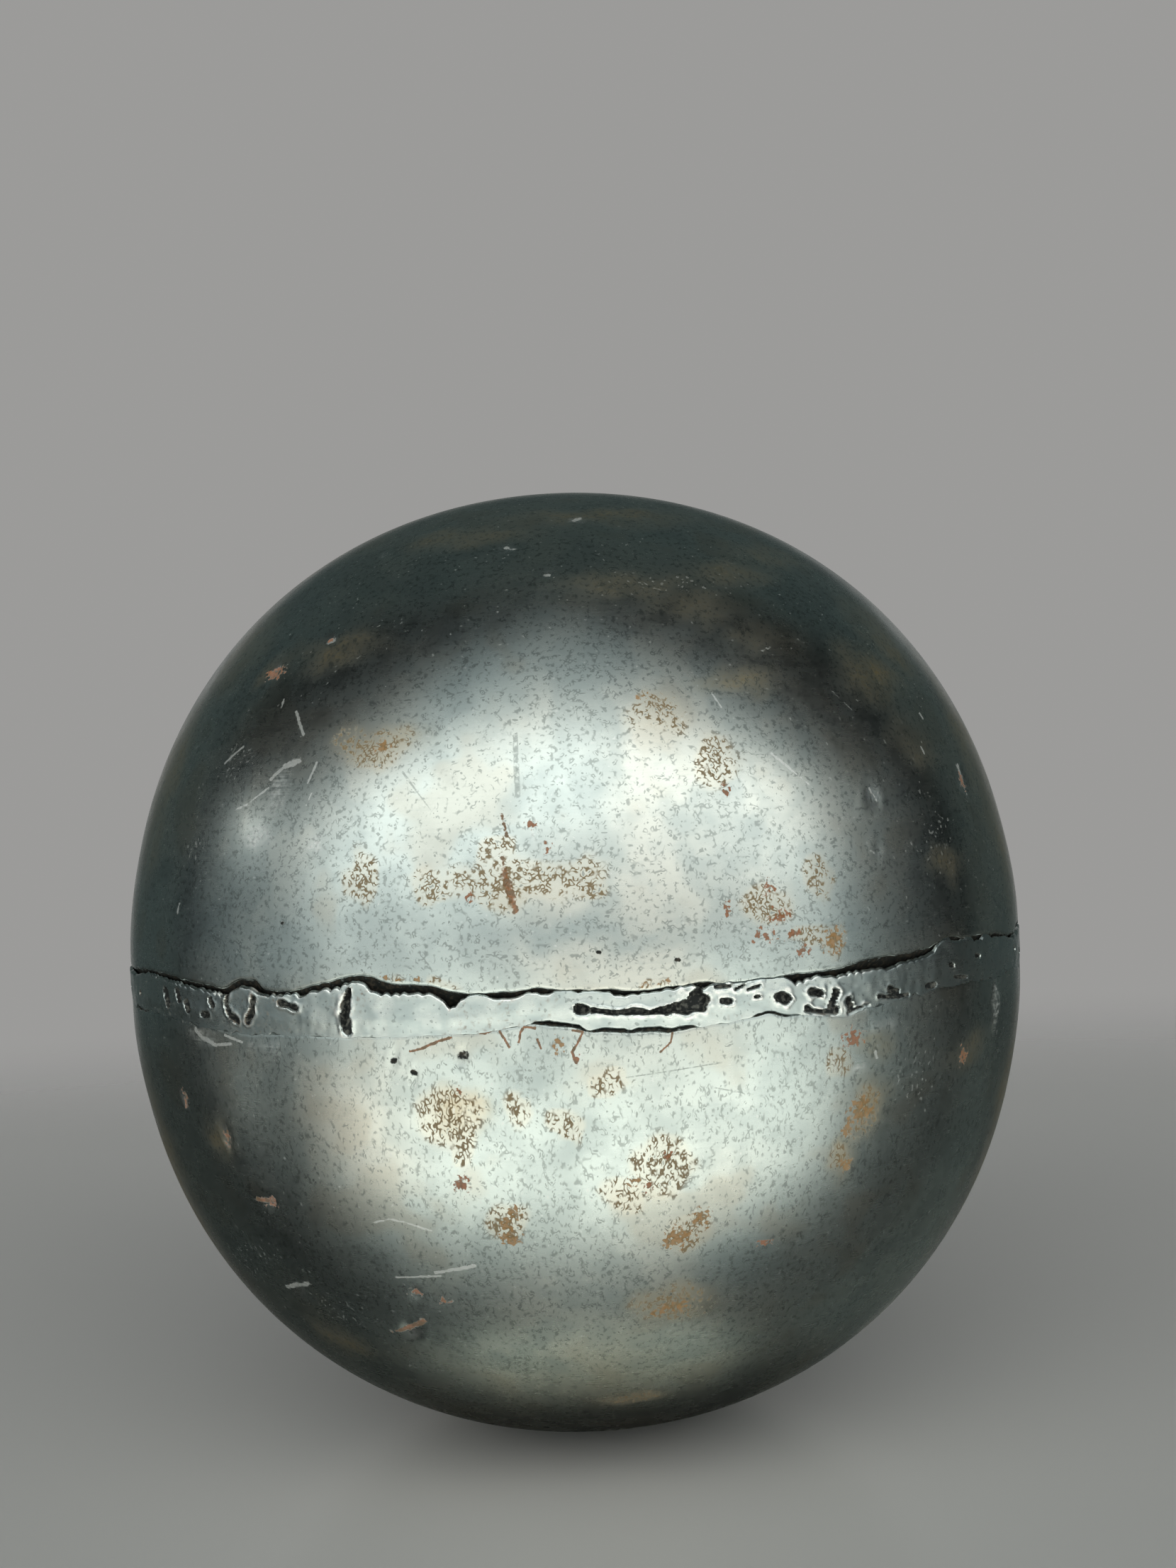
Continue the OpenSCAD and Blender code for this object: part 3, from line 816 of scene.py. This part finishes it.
# Pressed steel: satin gunmetal with a blue-green cast, faintly brushed, pitted and part rusted.
# Drawn marks run through places of (azimuth, latitude, half width).
steelLook = {
    "cool": (0.48, 0.55, 0.53),
    "warm": (0.54, 0.56, 0.51),
    "dull": (0.33, 0.39, 0.385),
    "film": (0.42, 0.345, 0.195),
    "tan": (0.44, 0.415, 0.34),
    "pit": (0.15, 0.175, 0.165),
    "cream": (0.60, 0.58, 0.48),
    "olive": (0.17, 0.12, 0.055),
    "rustBrown": (0.13, 0.07, 0.032),
    "rustRed": (0.26, 0.10, 0.042),
    "ochre": (0.29, 0.17, 0.07),
    "bright": (0.66, 0.69, 0.67),
    # painted shade for the open seam and holes, plain and tinted with rust
    "crevice": (0.014, 0.016, 0.015),
    "creviceRust": (0.05, 0.044, 0.034),
    "roughness": 0.27,
    "sheen": 0.15,  # gloss of what is not bare metal
    "upper": {
        "dark": [
            [(-19, 22.3, 0.2), (-12.9, 15.3, 0.14)], [(-5.9, 25.9, 0.35), (-5.6, 19.2, 0.45)],
            [(11.5, 17.6, 0.15), (13.4, 16.0, 0.15)],
        ],
        "bright": [
            [(24.1, 22.5, 0.25), (28.5, 18.5, 0.15)], [(2.5, 40, 0.15), (6, 30, 0.1)],
            [(4.2, 61.0, 0.5), (5.6, 61.6, 0.4)], [(-12.2, 55.1, 0.2), (-8, 53.7, 0.45)],
            [(-40.3, 55.2, 0.4), (-37.1, 55.5, 0.12)], [(-2.4, 48.1, 0.35), (-1.6, 48.1, 0.35)],
            [(-36.2, 39.6, 0.45), (-35.4, 39.9, 0.4)], [(-23.3, 36.2, 0.3), (-21.6, 36.8, 0.2)],
            [(-36.6, 30.2, 0.25), (-35.1, 28.4, 0.35), (-34.1, 27.3, 0.15)],
            [(-40, 32, 0.2), (-39.8, 31, 0.3)],
            [(-33.8, 24.2, 0.55), (-35.8, 23.7, 0.45), (-37.7, 22.2, 0.2)],
            [(-37.8, 21.2, 0.15), (-40.8, 19.4, 0.3), (-42.9, 18.8, 0.2)],
            [(-30.9, 23.8, 0.25), (-31.6, 21.6, 0.2)], [(-30.8, 20.4, 0.15), (-31.3, 19.1, 0.25)],
            [(-37.5, 18.1, 0.15), (-35.2, 17.9, 0.15), (-33.7, 16.8, 0.15)],
            [(-47.7, 24.4, 0.3), (-44.8, 26.3, 0.15)], [(-50.6, 14.4, 0.3), (-48.6, 14.9, 0.2)],
            [(-45.8, 11.1, 0.3), (-46.1, 10.4, 0.25)], [(-52, 8, 0.35), (-52.2, 7, 0.35)],
            [(11.5, 43.3, 0.25), (12, 43.3, 0.25)], [(17.1, 44.2, 0.25), (17.8, 44.2, 0.25)],
            [(17.6, 40.6, 0.3), (18.5, 40.4, 0.2)], [(27.6, 35.2, 0.35), (29.2, 35.7, 0.25)],
            [(33.9, 36.7, 0.3), (34.4, 35.9, 0.25)], [(53.2, 26.7, 0.3), (53.4, 26.1, 0.25)],
            [(33.1, 33.4, 0.15), (38.4, 27.4, 0.1)], [(18.3, 30, 0.2), (19.1, 28.2, 0.12)],
            [(36.9, 18, 0.35), (37.6, 16.7, 0.35)], [(58.1, 19.8, 0.55), (58.3, 18.2, 0.55)],
            [(57.9, 17.7, 0.45), (58.2, 16.3, 0.25)], [(34.8, 11.1, 0.25), (36.2, 10.7, 0.35)],
            [(40.2, 10.6, 0.15), (41.4, 11.4, 0.2)], [(49.6, 22.4, 0.25), (49.7, 21.7, 0.25)],
        ],
        "rust": [
            [(-7.4, 17.3, 0.2), (-7.1, 16.3, 0.36), (-6.8, 15.0, 0.26)],
            [
                (-7.3, 12.8, 0.25), (-7.1, 11.4, 0.42), (-6.8, 10.0, 0.62), (-6.3, 8.4, 0.55),
                (-6.0, 7.2, 0.35),
            ],
        ],
        "holes": [
            [(10.2, 1.5, 0.3), (10.4, 1.5, 0.3)], [(2.2, 2.7, 0.26), (2.4, 2.7, 0.26)],
            [(-33.1, 6.4, 0.3), (-32.9, 6.4, 0.3)],
        ],
    },
    "lower": {
        "dark": [
            [(13.8, 5.8, 0.2), (23.4, 8.4, 0.14)], [(4.5, 4.0, 0.12), (14.5, 3.2, 0.1)],
            [(-44.2, 18, 0.15), (-42.2, 18.8, 0.3)], [(-38.9, 18.7, 0.3), (-38.2, 18.9, 0.3)],
        ],
        "bright": [
            [(-25.1, 20, 0.15), (-22.8, 19.4, 0.22), (-20.8, 19.7, 0.25), (-17.9, 20.6, 0.18)],
            [(-18.5, 26, 0.25), (-13.5, 24.9, 0.35)], [(-24, 27, 0.15), (-18, 26.4, 0.2)],
            [(-44.5, 31.3, 0.45), (-39, 29.8, 0.4)], [(-48.6, 13.1, 0.25), (-48.7, 14, 0.2)],
            [(-29.1, 42.2, 0.35), (-27.6, 42.2, 0.35)], [(-36.8, 35.1, 0.2), (-31.3, 33.6, 0.15)],
            [(-48.2, -0.3, 0.3), (-46.8, 0.5, 0.35), (-44.2, 1.1, 0.3), (-41.5, 0.8, 0.15)],
            [(-42.5, -0.1, 0.25), (-39.5, 0.5, 0.12)], [(-22.9, 33.1, 0.3), (-22.2, 33.0, 0.3)],
            [(33.3, 4.2, 0.3), (33.5, 4.8, 0.25)],
        ],
        "rust": [
            [(-17.7, 0.7, 0.12), (-16.4, 0.4, 0.2), (-14.5, -0.4, 0.18), (-13.2, -0.7, 0.18)],
            [(-10.6, -1.2, 0.16), (-9.7, -1.1, 0.22), (-8.6, -1.5, 0.18)],
            [(-8.1, -1.2, 0.15), (-7.6, -0.4, 0.2), (-7.2, 0.4, 0.16)],
            [(-6.2, -0.1, 0.15), (-6.0, -1.1, 0.2), (-5.6, -1.6, 0.2), (-4.5, -1.5, 0.16)],
            [(-4.3, -0.3, 0.15), (-4.0, 0.6, 0.16)],
            [
                (-0.7, -1.1, 0.16), (0.3, -0.9, 0.16), (-0.3, 0.3, 0.18), (-0.9, 1.1, 0.16),
                (-0.5, 2.2, 0.24),
            ],
            [(9.4, -0.3, 0.13), (9.2, 0.7, 0.16), (8.1, 1.6, 0.13)],
            [(-28.4, 35.7, 0.3), (-25.4, 34.9, 0.55), (-22.4, 33.2, 0.5)],
            [(-52.7, 7.6, 0.4), (-53.3, 9.2, 0.45)], [(-44.7, 11, 0.4), (-45.1, 12.1, 0.4)],
            [(-42.2, 18.9, 0.3), (-39.2, 18.8, 0.45)],
        ],
        "holes": [
            [(-19.7, 1.7, 0.42), (-19.5, 1.7, 0.42)], [(-17.5, 2.8, 0.45), (-17.3, 3.0, 0.45)],
            [(-12.3, 1.1, 0.58), (-11.9, 1.1, 0.58)], [(-2.1, 9.4, 0.26), (-1.9, 9.4, 0.26)],
        ],
    },
}


def steelSurface(paint, look, colour, metal, rough, height):
    bump = {"Strength": 1.0, "Distance": mm, "Height": height}
    values = {
        "Base Color": colour,
        "Metallic": metal.clamp(),
        "Roughness": rough.clamp(),
        "Specular IOR Level": look["sheen"],
        "Normal": paint.add("ShaderNodeBump", None, bump, "Normal"),
    }
    return paint.surface(values)


def shellSteel(name, side, marks):
    look = steelLook
    paint = newPaint(name)
    spot = paint.place()
    film, haze, rust = paint.field("film"), paint.field("haze"), paint.field("rust")
    ochre, red, chip, scabAndGlint = (paint.field(key) for key in ("ochre", "red", "chip", "scabAndGlint"))
    broad = paint.cloud(spot, 42, 2.0)
    patch = paint.cloud(spot, 12, 2.0)
    mottle = paint.cloud(spot, 4.5, 3.0)
    grain = paint.cloud(spot, 0.6, 2.0)
    brush = paint.cloud(paint.stretched(spot, (0.10, 0.10, 3.4)), 1.0, 2.0)
    centre = Vector((0, 0, side * skirtTop))

    def drawn(kind, ragged):
        turned = [[(turn, side * rise, half) for turn, rise, half in mark] for mark in marks[kind]]
        return (paint.fromMarks(spot, centre, turned) + (grain - 0.5) * ragged).step(1.15, 0.75)

    # painted shade in the holes and where the seam is open
    holes = drawn("holes", 1.4)
    hollow = (paint.field("hollow") + (grain - 0.5) * 0.8).step(0.3, 0.6).most(holes)

    # worm-shaped pits follow one cloud's contour lines, cut short by another, and crowd where it rusts
    tall = (1.0, 1.0, 1.0) if side > 0 else (1.15, 1.15, 0.75)
    worms = paint.cloud(paint.stretched(spot, tall, (3.0, 7.0, 1.0)), 0.52)
    cut = paint.cloud(paint.stretched(spot, tall, (13.0, 5.0, 9.0)), 0.75)
    rusty = rust * (0.4 + mottle * 1.2)
    crowd = (cut + rusty * 0.24 + patch * 0.3 - 0.07).step(0.58, 0.80)
    pits = abs(worms - 0.5).step(0.155, 0.055) * crowd
    browned = rusty.step(0.0, 0.35)
    pitShare = pits * (browned * 0.3 + 0.6)
    speck = worms.step(0.74, 0.79) * 0.6
    fleck = (worms - paint.field("grit") * 0.14).step(0.20, 0.15)
    line = drawn("rust", 2.2)
    flake = (ochre.most(red) + (grain - 0.5) * 2.2 + (worms - 0.5) * ochre).step(0.40, 0.62)
    flake = (flake * ochre.most(red).step(0.05, 0.25)).most(line)

    dark = drawn("dark", 1.2) * grain.step(0.3, 0.55)
    scratch = drawn("bright", 1.8)
    filmShare = film * (0.2 + mottle) * (0.35 + grain * 1.2)
    filmShare = (filmShare * (0.35 + patch.step(0.32, 0.62) * 0.65)).clamp()

    colour = paint.mix(broad.step(0.36, 0.64), look["cool"], look["warm"])
    colour = paint.mix(patch.step(0.49, 0.60) * 0.45, colour, look["dull"])
    colour = paint.mix(mottle.step(0.45, 0.75) * 0.4, colour, look["dull"])
    colour = paint.mix(patch.step(0.46, 0.34) * 0.4, colour, look["tan"])
    colour = paint.mix((haze * (0.2 + mottle)).most(brush.step(0.5, 0.78) * 0.10), colour, look["dull"])
    colour = paint.mix(filmShare, colour, look["film"])
    colour = paint.mix(browned * 0.4, colour, look["cream"])
    colour = paint.mix(pitShare, colour, paint.mix(browned, look["pit"], look["olive"]))
    colour = paint.mix((dark * 0.6).most(speck), colour, look["pit"])
    # pale marks: scratches, scabs, scuffs and grit, with painted glints among the scuffs
    dustAndGlint = (scratch * 0.9).most(scabAndGlint * (grain * 0.6 + brush * 0.5).step(0.4, 0.75)).most(fleck * 0.5)
    colour = paint.mix(dustAndGlint.most(chip * grain.step(0.35, 0.6)) * 0.8, colour, look["bright"])
    rustColour = paint.mix(grain.step(0.38, 0.66), look["rustBrown"], look["rustRed"])
    ochreColour = paint.mix(grain.step(0.4, 0.62), look["olive"], look["ochre"])
    rustColour = paint.mix((ochre - red).step(-0.1, 0.3), rustColour, ochreColour)
    colour = paint.mix(flake * 0.88, colour, rustColour)
    creviceShade = paint.mix(grain.step(0.45, 0.7), look["crevice"], look["creviceRust"])
    colour = paint.mix(hollow, colour, creviceShade)

    stain = flake.most(pitShare * browned)
    metal = 1 - (stain * 0.9).most(hollow * 0.8).most(dustAndGlint * 0.4).most(filmShare * 0.12)
    rough = look["roughness"] + (mottle - 0.5) * 0.12 + (brush - 0.5) * 0.04 + filmShare * 0.10
    rough = rough + stain * 0.35 + hollow * 0.3
    height = (brush - 0.5) * 0.0005 + (grain - 0.5) * 0.003 + (mottle - 0.5) * 0.005
    return steelSurface(paint, look, colour, metal, rough, height)


# Ground weld metal: brighter, smeared by the grinder, painted near black as shade in its crevices and
# pores
weldLook = {
    "ground": (0.50, 0.56, 0.54),
    "grey": (0.38, 0.45, 0.445),
    "pit": (0.16, 0.19, 0.185),
    # bare metal and painted highlight on the lip and pore rims
    "bareAndHighlight": (0.84, 0.86, 0.82),
    "brown": (0.16, 0.085, 0.035),
    # painted shade for pores and the crevice: near black, and a lighter tone
    "hollowShade": (0.016, 0.019, 0.019),
    "lighterShade": (0.12, 0.125, 0.11),
    "roughness": 0.29,
    "sheen": 0.2,
}


def weldSteel(name):
    look = weldLook
    paint = newPaint(name)
    spot = paint.place()
    hollow = paint.field("hollow")
    mottle = paint.cloud(spot, 3.2, 4.0)
    grain = paint.cloud(spot, 0.6, 2.0)
    patch = paint.cloud(spot, 9, 2.0)
    brush = paint.cloud(paint.stretched(spot, (0.16, 0.16, 3.6)), 1.0, 3.0)
    # painted shade, darkest deep in the pores and the crevice
    hollowShade = (hollow + (grain - 0.5) * 0.4).step(0.12, 0.45)
    brown = (patch + mottle * 0.6).step(0.82, 0.98) * (hollow * 2 + grain).step(0.5, 0.9)
    colour = paint.mix(mottle.step(0.35, 0.7), look["ground"], look["grey"])
    specks = paint.cloud(spot, 0.52)
    colour = paint.mix(specks.step(0.7, 0.78) * 0.55, colour, look["pit"])
    # bare metal with a painted highlight on the lip and pore rims
    bareAndHighlight = paint.field("bareAndHighlight") * (grain * 0.6 + mottle * 0.7).step(0.5, 0.8)
    colour = paint.mix(bareAndHighlight, colour, look["bareAndHighlight"])
    colour = paint.mix(brown * 0.7, colour, look["brown"])
    shadeColour = paint.mix(grain.step(0.45, 0.7), look["hollowShade"], look["lighterShade"])
    colour = paint.mix(hollowShade, colour, shadeColour)
    metal = 1 - (hollowShade * 0.8).most(brown * 0.6)
    rough = look["roughness"] + (mottle - 0.5) * 0.2 + (brush - 0.5) * 0.1 + hollowShade * 0.4
    height = (mottle - 0.5) * 0.018 + (brush - 0.5) * 0.006 + (grain - 0.5) * 0.008
    return steelSurface(paint, look, colour, metal, rough, height)


upperSteel = shellSteel("upperHalfSteel", 1, steelLook["upper"])
lowerSteel = shellSteel("lowerHalfSteel", -1, steelLook["lower"])
beadSteel = weldSteel("groundWeldSteel")
for piece, node, slot, steel in (
    (upperHalf, "upper_half_shell", "shell_steel", upperSteel),
    (lowerHalf, "lower_half_shell", "shell_steel", lowerSteel),
    (weldBead, "weld_bead", "weld_steel", beadSteel),
):
    piece.data.materials.append(steel)
    piece.data.set_sharp_from_angle(angle=math.radians(50))
    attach(piece, "root")
    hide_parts(node)
print("finishes: steel on both halves and the bead")


# Studio, in metres: a pale satin floor that fades out, a plain backdrop and one curved soft light
studio = {
    "floorPlain": (0.56, 0.56, 0.55),  # the floor as the camera sees it
    "floorColour": (0.90, 0.88, 0.83),  # the floor as the ball mirrors it, and its parts in painted shade
    "floorShade": (0.36, 0.35, 0.33),
    "floorMetal": 0.93,
    "floorGloss": 0.24,
    "floorRings": 24,
    "floorSectors": 96,
    "floorPool": 0.45,  # level of the pale pool of light in front of the ball
    "poolColour": (1.0, 0.985, 0.92),
    # where the pool starts and is full, and the same for the lit part of the floor:
    # far from the ball in millimetres, ahead and aside as cosines
    "poolAhead": (0.45, 0.8),
    "poolFar": (86.0, 168.0),
    "litAside": (0.90, 0.54),
    "litAhead": (-0.6, -0.25),
    "litFar": (36.0, 66.0),
    "floorMiddle": -0.5,  # the floor's middle lies this far in front of the ball
    "floorFade": (0.75, 1.03),
    "backdropColour": (0.33, 0.327, 0.32),
    "backdropPlace": (1.5, 1.7, -1.3, 0.55),  # distance behind, width, bottom, top
    "roomColour": (0.052, 0.068, 0.066),
    "tentRadius": 4.0,
    "tentTurnReach": 115,
    "tentRiseReach": (-8, 92),
    "tentGrid": (116, 101),
    "tentCool": (0.86, 0.97, 1.0),  # tint where it is dim, and where it is bright
    "tentWarm": (1.0, 1.0, 0.965),
    "tentArch": 10 / 40 ** 2,  # how fast the bright band bends down towards its ends
    # brightness of the soft light: (elevation, level) and (azimuth, share)
    "tentRise": [
        (-8, 1.25), (0, 1.08), (8, 0.92), (14, 1.02), (20, 1.42), (27, 1.75), (34, 1.95),
        (41, 2.2), (49, 2.15), (54, 1.25), (60, 0.7), (68, 0.48), (78, 0.3), (85, 0.14),
        (92, 0.05),
    ],
    "tentTurn": [
        (-115, 0), (-105, 0.07), (-96, 0.13), (-85, 0.17), (-75, 0.30), (-67, 0.55), (-60, 0.95),
        (-50, 1), (50, 1), (60, 0.95), (64, 0.6), (69, 0.25), (78, 0.14), (90, 0.06), (105, 0),
        (115, 0),
    ],
    # small brighter spots at the left: (azimuth, elevation, half width, half height, level)
    "tentSpots": [(-91.5, 18.5, 6.2, 3.8, 2.5), (-70, 20, 4, 3, 0.9), (-84, 1, 16, 9, 0.15)],
}


# a surface that only glows
def glowSurface(paint, colour):
    black = {"Base Color": (0.0, 0.0, 0.0, 1.0), "Roughness": 1.0, "Specular IOR Level": 0.0}
    return paint.surface({**black, "Emission Color": colour, "Emission Strength": 1.0})


def makeFloor():
    rings = studio["floorRings"]
    sectors = studio["floorSectors"]
    start, end = (reach / mm for reach in studio["floorFade"])
    level = floorLevel / mm
    turns = wrapTurn(np.arange(sectors) * 360 / sectors)
    points = [ringPoints(turns, end * (index + 1) / rings, level) for index in range(rings)]
    points = np.concatenate([[[0, 0, level]], *points])
    points[:, 1] += studio["floorMiddle"] / mm
    loops = [np.arange(sectors) + 1 + index * sectors for index in range(rings)]
    faces = [face for inner, outer in zip(loops, loops[1:]) for face in bandFaces(inner, outer).tolist()]
    faces += [[0, first, last] for first, last in zip(loops[0].tolist(), np.roll(loops[0], -1).tolist())]
    floor = newMesh("studioFloor", points, faces)
    paint = newPaint("paleFloor")
    spot = paint.stretched(paint.place(), (1.0, 1.0, 0.0), (0.0, -studio["floorMiddle"] / mm, 0.0))
    away = paint.vectors("LENGTH", {0: spot}, "Value")
    fade = away.step(end * 0.98, start)
    # a pool of light in front of the ball, fading towards its sides and under it
    ground = paint.stretched(paint.place(), (1.0, 1.0, 0.0))
    far = paint.vectors("LENGTH", {0: ground}, "Value")
    ahead = paint.dot(ground, (0.0, -1.0, 0.0)) / far.most(1.0)
    pool = ahead.step(*studio["poolAhead"]) * far.step(*studio["poolFar"]) * studio["floorPool"]
    # painted shade: what the ball mirrors of the floor is darker at the left, behind the ball and under
    # it
    aside = paint.dot(ground, (-1.0, 0.0, 0.0)) / far.most(1.0)
    lit = aside.step(*studio["litAside"]) * ahead.step(*studio["litAhead"]) * far.step(*studio["litFar"])
    mirror = {
        "Base Color": paint.mix(lit, studio["floorShade"], studio["floorColour"]),
        "Roughness": studio["floorGloss"],
        "Metallic": studio["floorMetal"],
        "Alpha": fade,
        "Emission Color": paint.mix(pool, (0.0, 0.0, 0.0), studio["poolColour"]),
        "Emission Strength": 1.0,
    }
    plain = {
        "Base Color": (*studio["floorPlain"], 1.0),
        "Roughness": studio["floorGloss"],
        "Alpha": fade,
    }
    shaders = [paint.add("ShaderNodeBsdfPrincipled", None, values) for values in (mirror, plain)]
    sockets = {0: paint.rays("Is Camera Ray"), 1: shaders[0], 2: shaders[1]}
    floor.data.materials.append(paint.cover(paint.add("ShaderNodeMixShader", None, sockets)))


def makeBackdrop():
    behind, width, bottom, top = (value / mm for value in studio["backdropPlace"])
    corners = [(-width / 2, behind, bottom), (width / 2, behind, bottom)]
    corners += [(width / 2, behind, top), (-width / 2, behind, top)]
    backdrop = newMesh("studioBackdrop", corners, [[0, 1, 2, 3]])
    paint = newPaint("plainBackdrop")
    rays = paint.rays("Is Camera Ray", "Is Glossy Ray", "Is Transmission Ray")
    colour = paint.mix(rays, (0.0, 0.0, 0.0), studio["backdropColour"])
    backdrop.data.materials.append(glowSurface(paint, colour))


# The soft light is one curved sheet round the front of the ball
def makeTent():
    columns, rows = studio["tentGrid"]
    azimuths = np.linspace(-studio["tentTurnReach"], studio["tentTurnReach"], columns)
    elevations = np.linspace(*studio["tentRiseReach"], rows)
    turns, rises = np.meshgrid(azimuths, elevations)
    radius = studio["tentRadius"] / mm
    flat = np.radians(rises)
    points = ringPoints(turns, radius * np.cos(flat), radius * np.sin(flat)).reshape(-1, 3)
    arched = rises + studio["tentArch"] * turns ** 2 * smooth(0, 40, rises)
    glow = lineAt(arched, studio["tentRise"]) * lineAt(turns, studio["tentTurn"])
    for azimuth, elevation, halfWidth, halfHeight, level in studio["tentSpots"]:
        away = np.hypot((turns - azimuth) / halfWidth, (rises - elevation) / halfHeight)
        glow = glow + level * (1 - smooth(0.3, 1.2, away))
    numbers = np.arange(turns.size).reshape(turns.shape)
    tent = newMesh("studioTent", points, gridFaces(numbers).tolist(), {"glow": glow.ravel()})
    paint = newPaint("softLight")
    glowing = paint.field("glow")
    tint = paint.mix(glowing.step(0.2, 1.2), studio["tentCool"], studio["tentWarm"])
    colour = paint.vectors("SCALE", {0: tint, "Scale": glowing})
    tent.data.materials.append(glowSurface(paint, colour))
    tent.visible_camera = False
    tent.visible_shadow = False


def makeRoom():
    world = bpy.data.worlds.new("dimRoom")
    scene.world = world
    paint = Paint(world)
    tone = paint.mix(paint.rays("Is Camera Ray"), studio["roomColour"], studio["backdropColour"])
    room = paint.add("ShaderNodeBackground", None, {"Color": tone, "Strength": 1.0})
    paint.add("ShaderNodeOutputWorld", None, {"Surface": room})


makeFloor()
makeBackdrop()
makeTent()
makeRoom()
print("studio: floor, backdrop and soft light")


# Camera, in metres, at the photograph's height, distance and roll
cameraLook = {
    "place": (0.0, -0.30831, 0.03269),
    "right": (0.99890, -0.01157, -0.04545),
    "up": (0.04558, 0.01191, 0.99889),
    "ahead": (0.01101, 0.99986, -0.01243),
    "focalPixels": 2500,
    "imageHeight": 2212,
    "sensor": 36.0,
}


def makeCamera():
    data = bpy.data.cameras.new("photoCamera")
    data.sensor_width = cameraLook["sensor"]
    data.lens = cameraLook["focalPixels"] * cameraLook["sensor"] / cameraLook["imageHeight"]
    data.clip_start = 0.01
    camera = bpy.data.objects.new("photoCamera", data)
    scene.collection.objects.link(camera)
    axes = [Vector(cameraLook["right"]), Vector(cameraLook["up"]), -Vector(cameraLook["ahead"])]
    turn = Matrix([axis.normalized() for axis in axes]).transposed()
    camera.matrix_world = Matrix.Translation(cameraLook["place"]) @ turn.to_4x4()
    scene.camera = camera


makeCamera()
scene.view_settings.view_transform = "Standard"
print("camera: set")
